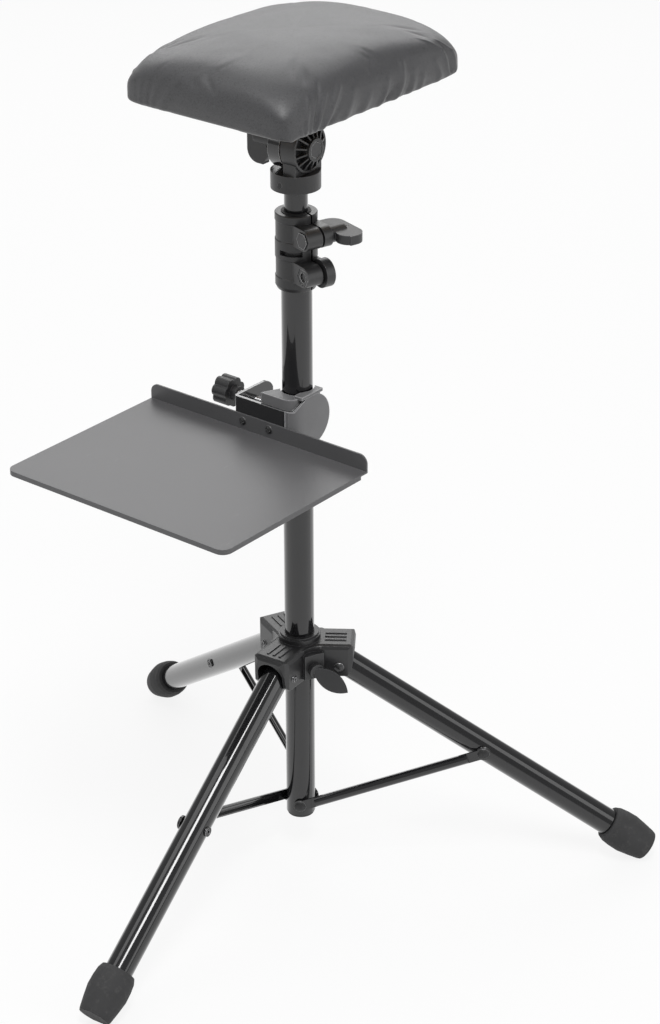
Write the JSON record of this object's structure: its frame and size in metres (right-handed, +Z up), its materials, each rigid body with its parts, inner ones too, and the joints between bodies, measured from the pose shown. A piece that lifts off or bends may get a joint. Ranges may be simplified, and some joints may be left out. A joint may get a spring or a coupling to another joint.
{
  "type": "tattoo arm rest stand",
  "caption": "Folding tripod stand with a telescopic post, a tilting crowned arm pad on a friction head, and a small tray clamped to its mast.",
  "frame": {"origin": "the point of the floor on the mast axis", "axes": "+Z up along the mast, X along the long side of the tray, -Y from the mast to the tray"},
  "size_m": [0.5693, 0.5252, 0.785],
  "materials": {
    "gloss_black": "gloss",
    "tray_coat": "satin",
    "black_plastic": "satin",
    "inner_plastic": "matte",
    "grey_plastic": "satin",
    "foot_rubber": "matte",
    "black_rubber": "matte",
    "zinc_steel": "satin",
    "dark_steel": "satin",
    "brass_insert": "satin",
    "fibre": "matte",
    "plywood": "matte",
    "foam": "matte",
    "dark_vinyl": "satin"
  },
  "bodies": {
    "mast": {"mast_tube": "gloss_black", "mast_plug": "inner_plastic", "brace_mast_rivets": "dark_steel", "collar_body": "black_plastic", "post_bush": "inner_plastic", "collar_hex_bolt": "dark_steel", "collar_pinch_bolt": "dark_steel", "collar_pinch_nut": "dark_steel"},
    "collar_knob_body": {"collar_knob": "black_plastic"},
    "hub": {"hub_body": "black_plastic", "leg_bolts": "zinc_steel", "leg_nuts": "dark_steel", "hub_insert": "brass_insert", "hub_brake_pad": "black_rubber"},
    "hub_wing": {"hub_wing_screw": "black_plastic"},
    "post_lift": {"post_guide": "inner_plastic"},
    "head": {"inner_post": "gloss_black", "head_socket": "black_plastic", "head_post_pin": "dark_steel", "tilt_bolt": "dark_steel", "tilt_washer": "fibre"},
    "tilt_knob_body": {"tilt_knob": "black_plastic"},
    "rest": {"head_bracket": "gloss_black", "bracket_screws": "zinc_steel", "base_board": "plywood", "pad_foam": "foam", "pad_cover": "dark_vinyl"},
    "clamp_ring": {"clamp_sleeve": "black_rubber"},
    "tray": {"tray_plate": "tray_coat", "tray_screws": "dark_steel", "tray_nuts": "zinc_steel", "tray_bracket": "gloss_black", "clamp_cradle": "grey_plastic"},
    "jaw": {"clamp_foot": "black_rubber"},
    "screw": {"clamp_screw": "zinc_steel", "clamp_knob": "black_plastic"},
    "leg_a": {"leg_tube_a": "gloss_black", "leg_plug_a": "inner_plastic", "leg_foot_a": "foot_rubber", "leg_rivet_a": "zinc_steel"},
    "brace_a_body": {"brace_a": "gloss_black", "brace_rivet_a": "dark_steel"},
    "leg_b": {"leg_tube_b": "gloss_black", "leg_plug_b": "inner_plastic", "leg_foot_b": "foot_rubber", "leg_rivet_b": "zinc_steel"},
    "brace_b_body": {"brace_b": "gloss_black", "brace_rivet_b": "dark_steel"},
    "leg_c": {"leg_tube_c": "gloss_black", "leg_plug_c": "inner_plastic", "leg_foot_c": "foot_rubber", "leg_rivet_c": "zinc_steel"},
    "brace_c_body": {"brace_c": "gloss_black", "brace_rivet_c": "dark_steel"}
  },
  "joints": [
    {"name": "hub_slide", "type": "slide", "parent": "mast", "child": "hub", "axis": [0, 0, 1], "range_m": [0, 0.18014]},
    {"name": "hub_wing_turn", "type": "hinge", "parent": "hub", "child": "hub_wing", "pos_m": [0.02741, -0.0122, 0.206], "axis": [0.9135, -0.4067, 0], "range_deg": [-180, 180]},
    {"name": "collar_knob_turn", "type": "hinge", "parent": "mast", "child": "collar_knob_body", "pos_m": [0.02582, -0.00789, 0.613], "axis": [0.2924, 0.9563, 0], "range_deg": [-180, 180]},
    {"name": "post_slide", "type": "slide", "parent": "mast", "child": "post_lift", "axis": [0, 0, 1], "range_m": [-0.018, 0.3]},
    {"name": "post_swivel", "type": "hinge", "parent": "post_lift", "child": "head", "pos_m": [0, 0, 0.65], "axis": [0, 0, 1], "continuous": true},
    {"name": "pad_tilt", "type": "hinge", "parent": "head", "child": "rest", "pos_m": [0, 0, 0.686], "axis": [1, 0, 0], "range_deg": [-60, 60]},
    {"name": "tilt_knob_turn", "type": "hinge", "parent": "head", "child": "tilt_knob_body", "pos_m": [-0.03, 0, 0.686], "axis": [1, 0, 0], "range_deg": [-180, 180]},
    {"name": "tray_slide", "type": "slide", "parent": "mast", "child": "clamp_ring", "axis": [0, 0, 1], "range_m": [0, 0.086]},
    {"name": "tray_swivel", "type": "hinge", "parent": "clamp_ring", "child": "tray", "pos_m": [0, 0, 0.444], "axis": [0, 0, 1], "continuous": true},
    {"name": "jaw_slide", "type": "slide", "parent": "tray", "child": "jaw", "axis": [-1, 0, 0], "range_m": [0, 0.016]},
    {"name": "screw_turn", "type": "hinge", "parent": "jaw", "child": "screw", "pos_m": [-0.06, 0, 0.444], "axis": [-1, 0, 0], "range_deg": [0, 4608.5]},
    {"name": "leg_a_fold", "type": "hinge", "parent": "hub", "child": "leg_a", "pos_m": [0.00376, -0.0358, 0.204], "axis": [0.9945, 0.1045, 0], "range_deg": [0, 53.64]},
    {"name": "brace_a_fold", "type": "hinge", "parent": "mast", "child": "brace_a_body", "pos_m": [-0.01492, -0.00157, 0.054], "axis": [-0.9945, -0.1045, 0], "range_deg": [0, 56.39]},
    {"name": "leg_b_fold", "type": "hinge", "parent": "hub", "child": "leg_b", "pos_m": [0.02913, 0.02116, 0.204], "axis": [-0.5878, 0.809, 0], "range_deg": [0, 53.64]},
    {"name": "brace_b_fold", "type": "hinge", "parent": "mast", "child": "brace_b_body", "pos_m": [0.00882, -0.01213, 0.054], "axis": [0.5878, -0.809, 0], "range_deg": [0, 56.39]},
    {"name": "leg_c_fold", "type": "hinge", "parent": "hub", "child": "leg_c", "pos_m": [-0.03289, 0.01464, 0.204], "axis": [-0.4067, -0.9135, 0], "range_deg": [0, 53.64]},
    {"name": "brace_c_fold", "type": "hinge", "parent": "mast", "child": "brace_c_body", "pos_m": [0.0061, 0.0137, 0.054], "axis": [0.4067, 0.9135, 0], "range_deg": [0, 56.39]}
  ],
  "couplings": [
    {"joint": "screw_turn", "follows": "jaw_slide", "rad_per_m": 5026.5},
    {"joint": "leg_a_fold", "follows": "hub_slide", "rad_per_m": 5.1958},
    {"joint": "brace_a_fold", "follows": "hub_slide", "rad_per_m": 5.4623},
    {"joint": "leg_b_fold", "follows": "hub_slide", "rad_per_m": 5.1958},
    {"joint": "brace_b_fold", "follows": "hub_slide", "rad_per_m": 5.4623},
    {"joint": "leg_c_fold", "follows": "hub_slide", "rad_per_m": 5.1958},
    {"joint": "brace_c_fold", "follows": "hub_slide", "rad_per_m": 5.4623}
  ]
}
